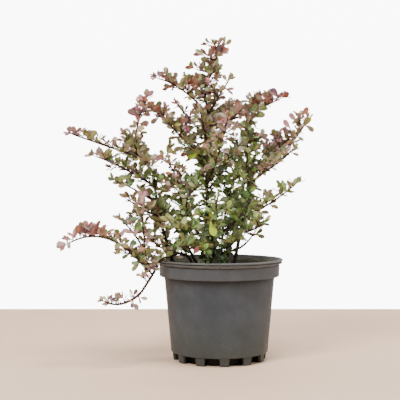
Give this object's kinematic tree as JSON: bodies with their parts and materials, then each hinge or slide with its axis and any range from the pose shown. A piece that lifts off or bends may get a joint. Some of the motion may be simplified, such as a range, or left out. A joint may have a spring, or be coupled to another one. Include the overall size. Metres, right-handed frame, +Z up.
{
  "type": "potted japanese barberry",
  "caption": "Young deciduous shrub with arching thorny stems and open sprays of small green, bronze and red leaves, rooted in a round tapered nursery pot.",
  "frame": {"origin": "centre of the pot's flat underside, on the surface it stands on", "axes": "+Z up along the pot's axis; -Y towards the front of the plant as pictured; +X to the viewer's right"},
  "size_m": [0.3747, 0.2682, 0.4791],
  "materials": {
    "pot_plastic": "dark grey satin polypropylene, slightly dusty",
    "compost": "moist peat and bark compost",
    "bark": "dark brown ridged bark",
    "foliage_green": "satin green leaves on thin twigs",
    "foliage_bronze": "satin leaves turning from green to bronze",
    "foliage_red": "satin red and pink leaves of the shoot tips"
  },
  "bodies": {
    "root": {"pot": "pot_plastic", "compost": "compost", "centre_stem": "bark", "centre_leader": "bark", "right_stem": "bark", "right_leader": "bark", "left_stem": "bark", "left_fork": "bark", "low_limb": "bark", "low_arm": "bark", "low_upright": "bark", "mid_left_stem": "bark", "inner_right": "bark", "front_stem": "bark", "back_left": "bark", "back_right": "bark", "spray_low_tip": "foliage_red", "spray_low_side": "foliage_green", "spray_upright": "foliage_red", "spray_upright_side": "foliage_red", "spray_reach": "foliage_red", "spray_left_top": "foliage_red", "spray_left_arm": "foliage_red", "spray_second_arm": "foliage_bronze", "spray_left_side": "foliage_bronze", "spray_left_mid": "foliage_bronze", "spray_left_low": "foliage_green", "spray_low_left": "foliage_green", "spray_left_fork": "foliage_bronze", "spray_curl": "foliage_bronze", "spray_mid": "foliage_green", "spray_low_centre": "foliage_green", "spray_centre_left": "foliage_bronze", "spray_centre_back": "foliage_bronze", "spray_leader_left": "foliage_bronze", "spray_leader_front": "foliage_bronze", "spray_upper_left": "foliage_red", "spray_top": "foliage_red", "spray_top_right": "foliage_red", "spray_upper_right": "foliage_red", "spray_upper_back": "foliage_red", "spray_right_tip": "foliage_red", "spray_right_side": "foliage_bronze", "spray_right_back": "foliage_bronze", "spray_right_upright": "foliage_bronze", "spray_right_low": "foliage_green", "spray_right_stem": "foliage_green", "spray_low_right": "foliage_green", "spray_centre_right": "foliage_green", "spray_inner_right": "foliage_green", "spray_low_front_right": "foliage_green", "spray_low_front": "foliage_green", "spray_front": "foliage_green", "spray_front_right": "foliage_green", "spray_back_left": "foliage_green", "spray_low_back": "foliage_green", "spray_back_right": "foliage_green", "spray_back_side": "foliage_green", "spray_back_upper": "foliage_bronze", "spray_front_upper": "foliage_bronze"}
  },
  "joints": []
}
